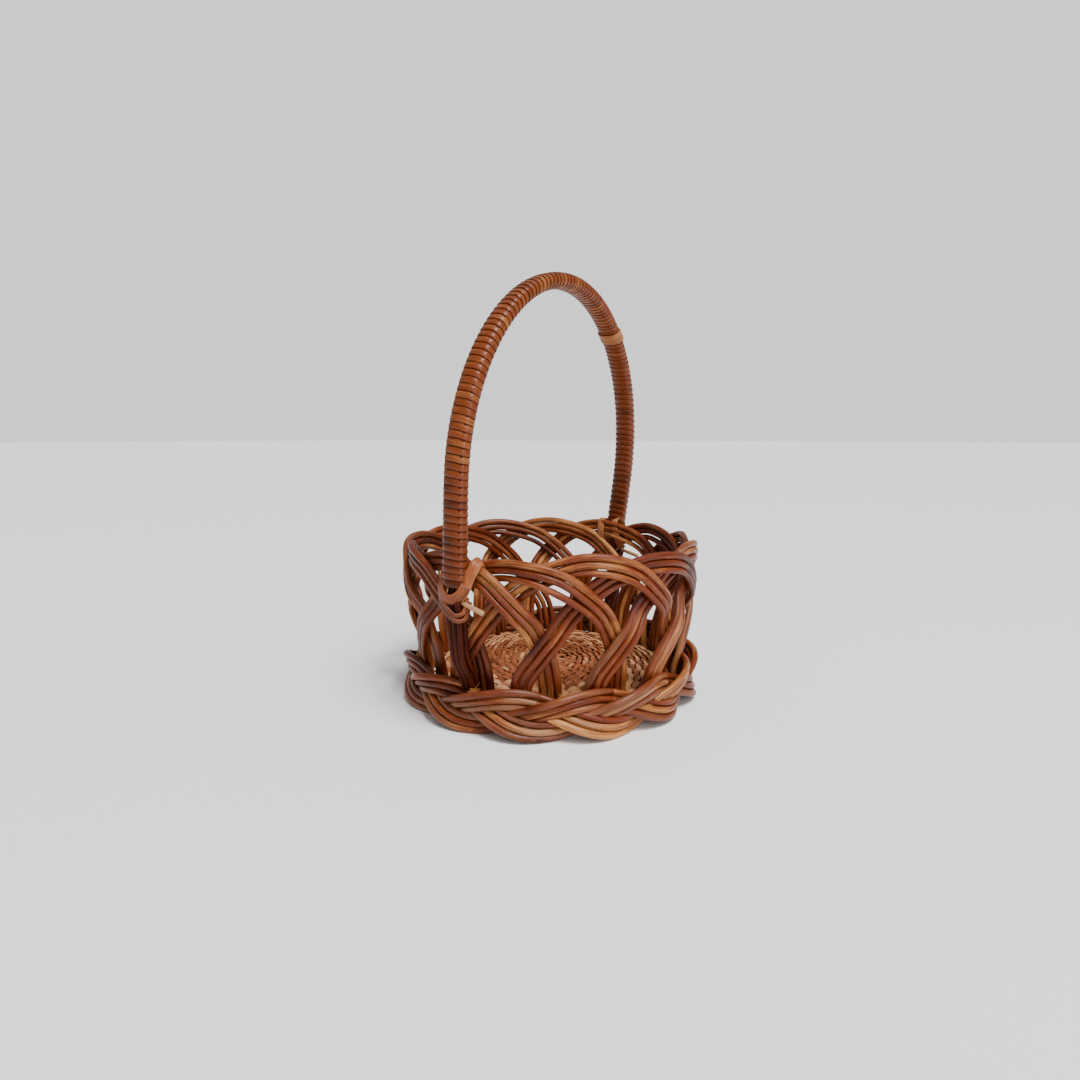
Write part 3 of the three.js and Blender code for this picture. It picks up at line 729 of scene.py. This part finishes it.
def rod_foot(side, outer, along):
    """The rod below the winding, upwards: it keeps against the wall, and the outer row swells out
    round the peg as a bell curve of the height above or below the place where the peg passes. At the
    foot it gathers and tucks in behind the plait as a smooth step of height."""
    pass_height = PEG_HEIGHT + (PEG_SHIFT - ROD_PITCH) * np.tan(PEG_TILT)
    height = np.linspace(ROD_LOW_END, WINDING_END - .001, ROD_FOOT_STEPS)
    bulge = PEG_SLOT * np.exp(-((height - pass_height) / PEG_SPREAD) ** 2) * (outer > 0)
    reach = handle_reach(height) + outer * ROD_PITCH / 2 + bulge
    gather = ROD_GATHER + (1 - ROD_GATHER) * np.clip((height - GATHER_FROM) / GATHER_FADE, 0, 1)
    reach = reach - ROD_TUCK * smooth_step((TUCK_FROM - height) / TUCK_FADE)
    return np.stack([side * reach, along * gather, height], axis=1)


def make_rods():
    """Six long rods in two rows of three. Each follows the bow, moved outwards by its row and aside
    by its lane, and runs on into a foot at each end. They are thinner towards their lower ends."""
    line = bow_line(120)
    _, out, _ = bow_directions(line)
    count = 0
    for outer in (1, -1):
        for lane in range(RODS_IN_A_ROW):
            aside = (lane - (RODS_IN_A_ROW - 1) / 2) * ROD_PITCH
            bow = line + out * outer * ROD_PITCH / 2 + aside * ALONG_Y
            points = np.vstack([rod_foot(-1, outer, aside), bow, rod_foot(1, outer, aside)[::-1]])
            route = evenly(points, ROD_STEPS)
            route = route + wander(ROD_STEPS, .00012, 9)[:, None] * ALONG_Y
            _, face, across = directions(route, ALONG_Y)
            count += 1
            thicken = np.clip((route[:, 2] - THIN_FROM) / THIN_FADE, 0, 1)
            thick = ROD_RADIUS * (THIN_SHARE + THICKER_SHARE * thicken)
            rod = carried(route, face, across, round_profile(10), thick, thick,
                          tone=.42 + .3 * (chance.random() - .5))
            make_piece(f"handle_rod_cane_{count}", [rod], "handle_rod_wood", [f"handle_rod_{count}"])


def make_peg(name, side, node):
    """A short whittled stick pushed between the rods, sloping down towards -Y, a little thicker at
    one end and slightly crooked."""
    share = np.linspace(-.5, .5, PEG_STEPS)
    slope = np.array([0, np.cos(PEG_TILT), np.sin(PEG_TILT)])
    middle = np.array([side * (handle_reach(PEG_HEIGHT) + PEG_SLOT / 2), -PEG_SHIFT, PEG_HEIGHT])
    route = middle + share[:, None] * PEG_LENGTH * slope + wander(PEG_STEPS, .00015)[:, None] * ALONG_X
    _, face, across = directions(route, ALONG_X)
    radius = PEG_RADIUS * (1 - .16 * share) * (1 + wander(PEG_STEPS, .03))
    stick = carried(route, face, across, round_profile(9), radius, radius, tone=.55, worn=.3)
    make_piece(name, [stick], "peg_wood", [node])


make_rods()
make_peg("peg_stick_near", -1, "peg_near")
make_peg("peg_stick_far", 1, "peg_far")


# ---------------------------------------------------------------- ties
TIE_STEPS = 90


def tie_band(points, half_width, side, half_thickness=.00055, tone=.6, towards=(0, 0, 0)):
    """A flat cane laid through points given in millimetres beside one handle leg, as (distance from
    the basket's axis, way along Y, height). Its face looks away from the middle of what it goes
    round, turned part of the way in the direction given."""
    points = np.array(points, float) * .001
    route = smooth_route(points, TIE_STEPS)
    middle = points.mean(axis=0)
    core = middle * [1, .45, .45] + route * [0, .55, .55]
    face = unit(unit(route - core) + np.array(towards))
    _, face, across = directions(route, face)
    turned = np.array([side, side, 1.])
    return carried(route * turned, face * turned, across * turned, split_profile(10, crown=.25),
                   half_thickness, half_width, tone=tone + wander(TIE_STEPS, .1), worn=.1)


# the near leg: a broad strap over the rim, its tail crossing under the winding, and two thin loops
NEAR_STRAP = [
    (98.5, 11, 95), (98.2, 11.4, 102), (99.6, 11.8, 108.6), (103.4, 12.2, 111.6), (107.6, 12.2, 110.4),
    (110.2, 11.4, 106.6), (112, 10, 102.5), (113.8, 8.8, 97.4), (115.2, 7.4, 93), (116.2, 5, 90.2)]
NEAR_TAIL = [
    (114.6, 9.4, 97.5), (117, 7.4, 93), (119.4, 4, 90.2), (120.2, -.4, 89.8), (119.4, -5, 92),
    (116.6, -8.8, 96.4), (112, -10.2, 101), (109.4, -10.8, 105)]
NEAR_LOOPS = [
    [(109.4, -11, 109), (112.6, -10.4, 103), (115.2, -9.8, 97), (118, -7.6, 90.6), (119.8, -3.4, 86),
     (120.2, 1, 82.6), (119, 4.6, 79.8), (115.4, 7.6, 80.8), (113.4, 8.6, 85), (112.2, 8.6, 90)],
    [(109.4, -12, 105), (112.4, -11.2, 99), (115.2, -10.2, 93), (118, -7.6, 86.8), (119.8, -3.4, 82.6),
     (120, 1, 79.2), (118.6, 5, 76.4), (114.6, 8.4, 76.8), (112, 9.2, 81.4), (110, 9.2, 87)]]
# the far leg: one strap upright and one slanting
FAR_STRAP = [
    (108.4, 7.2, 95), (109.6, 7.2, 104), (109, 7.6, 112), (105, 7.8, 115.6), (100.6, 7.8, 114.6),
    (98, 7.6, 109), (97.4, 7.4, 103), (98, 7.2, 97), (101, 7, 92)]
FAR_SLANT = [
    (109.5, -12, 96), (110.4, -9.6, 105), (109, -7.4, 112), (105, -5.4, 115.8), (100.6, -5, 114.4),
    (98, -6, 108), (97.4, -8.2, 101), (98.2, -11, 95), (101, -13, 91)]
STRAP_HALF_WIDTH = 0.0036
TAIL_HALF_WIDTH = 0.0034
LOOP_HALF_WIDTH = 0.0015
LOOP_HALF_THICKNESS = 0.0007
FAR_HALF_WIDTH = 0.0033

near_knot = [tie_band(NEAR_STRAP, STRAP_HALF_WIDTH, -1, tone=.72, towards=(.2, .6, 0)),
             tie_band(NEAR_TAIL, TAIL_HALF_WIDTH, -1, tone=.34, towards=(1.6, .4, 0))]
near_knot += [tie_band(loop, LOOP_HALF_WIDTH, -1, LOOP_HALF_THICKNESS, tone=.3, towards=(1.2, .4, 0))
              for loop in NEAR_LOOPS]
make_piece("tie_cane_near", near_knot, "tie_cane", ["tie_near"])
make_piece("tie_cane_far_right", [tie_band(FAR_STRAP, FAR_HALF_WIDTH, 1, tone=.78)],
           "tie_cane", ["tie_far_right"])
make_piece("tie_cane_far_left", [tie_band(FAR_SLANT, FAR_HALF_WIDTH, 1, tone=.74)],
           "tie_cane", ["tie_far_left"])


# ---------------------------------------------------------------- loose fibres at the foot
FIBRE_STEPS = 8
FIBRE_RADIUS = 0.00016
FIBRE_DEPTH = 0.0022                # the fibres start this far outside the plait's middle


def fibre_tuft(name, turn, height, count):
    """Frayed fibres where a cane has split: thin tapering hairs that start in the plait, lean aside
    along it, and bend as the square of the way along."""
    hairs = []
    for _ in range(count):
        start = around(turn + chance.normal(0, .012), PLAIT_RADIUS + FIBRE_DEPTH,
                       height + chance.normal(0, .0009))
        out = unit(start * [1, 1, 0])
        aside = np.cross(UPRIGHT, out)
        reach = .003 + .004 * chance.random()
        share = np.linspace(0, 1, FIBRE_STEPS)[:, None]
        way = unit(.45 * chance.random() * out + aside + chance.normal(0, .35, 3))
        route = start + share * reach * way + share ** 2 * chance.normal(0, .0012, 3)
        thick = FIBRE_RADIUS * (1.15 - share[:, 0])
        _, face, across = directions(route, out)
        hairs.append(carried(route, face, across, round_profile(4), thick, thick,
                             tone=.85 + .2 * chance.random()))
    make_piece(name, hairs, "foot_cane")


fibre_tuft("frayed_fibres_1", np.radians(183.5), .0285, 26)
fibre_tuft("frayed_fibres_2", np.radians(-144.8), .0292, 36)


# ---------------------------------------------------------------- sticks under the base
STICK_STEPS = 60
STICK_END_GAP = 0.002               # from the sticks' ends to the disc's edge


def make_sticks():
    """Eight sticks in two crossed layers, side by side at the middle and fanning to the disc's edge."""
    for layer in range(2):
        height = LOWER_STICKS + layer * STICK_LAYER_STEP
        for number in range(STICKS_PER_LAYER):
            place = number - (STICKS_PER_LAYER - 1) / 2
            reach, fan = DISC_RADIUS - STICK_END_GAP, place * np.pi / (2 * STICKS_PER_LAYER)
            half = np.array([[STICK_STRAIGHT_PART, place * STICK_PITCH],
                             [reach * .6 * np.cos(fan), reach * .6 * np.sin(fan)],
                             [reach * np.cos(fan), reach * np.sin(fan)]])
            flat = np.vstack([(half * [-1, 1])[::-1], [[0, place * STICK_PITCH]], half])
            if layer == 0:
                flat = np.stack([-flat[:, 1], flat[:, 0]], axis=1)
            route = smooth_route(np.column_stack([flat, np.full(len(flat), height)]), STICK_STEPS)
            _, up, across = directions(route, UPRIGHT)
            radius = STICK_RADIUS * .97 * (1 + wander(STICK_STEPS, .03))
            stick = carried(route, up, across, round_profile(10), radius, radius,
                            tone=.5 + .25 * (chance.random() - .5))
            count = layer * STICKS_PER_LAYER + number + 1
            make_piece(f"base_stick_peeled_{count}", [stick], "base_stick_wood", [f"base_stick_{count}"])


make_sticks()


# ---------------------------------------------------------------- stage, light and camera
FLOOR_HALF = 30


def make_floor():
    """A wide pale floor: one square, centred under the basket."""
    corners = [(x * FLOOR_HALF, y * FLOOR_HALF, 0) for x, y in ((-1, -1), (1, -1), (1, 1), (-1, 1))]
    mesh = bpy.data.meshes.new("pale_floor")
    mesh.from_pydata(corners, [], [(0, 1, 2, 3)])
    floor = bpy.data.objects.new("pale_floor", mesh)
    bpy.context.scene.collection.objects.link(floor)
    paint = bpy.data.materials.new("pale_floor")
    paint.use_nodes = True
    skin = paint.node_tree.nodes["Principled BSDF"]
    skin.inputs["Base Color"].default_value = (.9, .9, .9, 1)
    skin.inputs["Roughness"].default_value = .8
    mesh.materials.append(paint)


CAMERA_DISTANCE = 0.5
CAMERA_HEIGHT = 0.1884
CAMERA_TURN = np.radians(-58.5)
CAMERA_DIP = np.radians(4.58)


def make_camera():
    """The camera stands off the front, above the rim, and looks slightly down."""
    data = bpy.data.cameras.new("camera")
    data.sensor_width, data.lens = 36, 22.06
    data.shift_x, data.shift_y = -.0098, -.0461
    camera = bpy.data.objects.new("camera", data)
    camera.location = (CAMERA_DISTANCE * np.sin(CAMERA_TURN),
                       -CAMERA_DISTANCE * np.cos(CAMERA_TURN), CAMERA_HEIGHT)
    camera.rotation_euler = (np.pi / 2 - CAMERA_DIP, 0, CAMERA_TURN)
    bpy.context.scene.collection.objects.link(camera)
    bpy.context.scene.camera = camera


def make_light(name, kind, place, aim, size, power):
    """A soft light that faces the aim point: a square panel, or a sun whose size is an angle."""
    data = bpy.data.lights.new(name, kind)
    data.energy = power
    if kind == "SUN":
        data.angle = size
    else:
        data.shape, data.size = "SQUARE", size
    lamp = bpy.data.objects.new(name, data)
    way = np.array(aim) - np.array(place)
    flat = np.hypot(way[0], way[1])
    lamp.location = place
    lamp.rotation_euler = (np.arctan2(flat, -way[2]), 0, np.arctan2(way[1], way[0]) - np.pi / 2)
    bpy.context.scene.collection.objects.link(lamp)


def make_world():
    """Soft light from all round, with a brighter plain backdrop that only the camera sees."""
    world = bpy.data.worlds.new("pale_room")
    world.use_nodes = True
    nodes, links = world.node_tree.nodes, world.node_tree.links
    room = nodes["Background"]
    room.inputs["Color"].default_value = (1, .985, .96, 1)
    room.inputs["Strength"].default_value = .42
    backdrop = nodes.new("ShaderNodeBackground")
    backdrop.inputs["Strength"].default_value = 1.45
    seen = nodes.new("ShaderNodeLightPath")
    either = nodes.new("ShaderNodeMixShader")
    links.new(seen.outputs["Is Camera Ray"], either.inputs["Fac"])
    links.new(room.outputs[0], either.inputs[1])
    links.new(backdrop.outputs[0], either.inputs[2])
    links.new(either.outputs[0], nodes["World Output"].inputs["Surface"])
    bpy.context.scene.world = world


LIGHT_AIM = (0, 0, .12)

make_floor()
make_camera()
make_light("key_light", "SUN", (-.25, -.65, 1.45), LIGHT_AIM, np.radians(26), 4.6)
make_light("fill_light", "AREA", (-.52, -1.19, .55), LIGHT_AIM, .6, 6)
make_world()
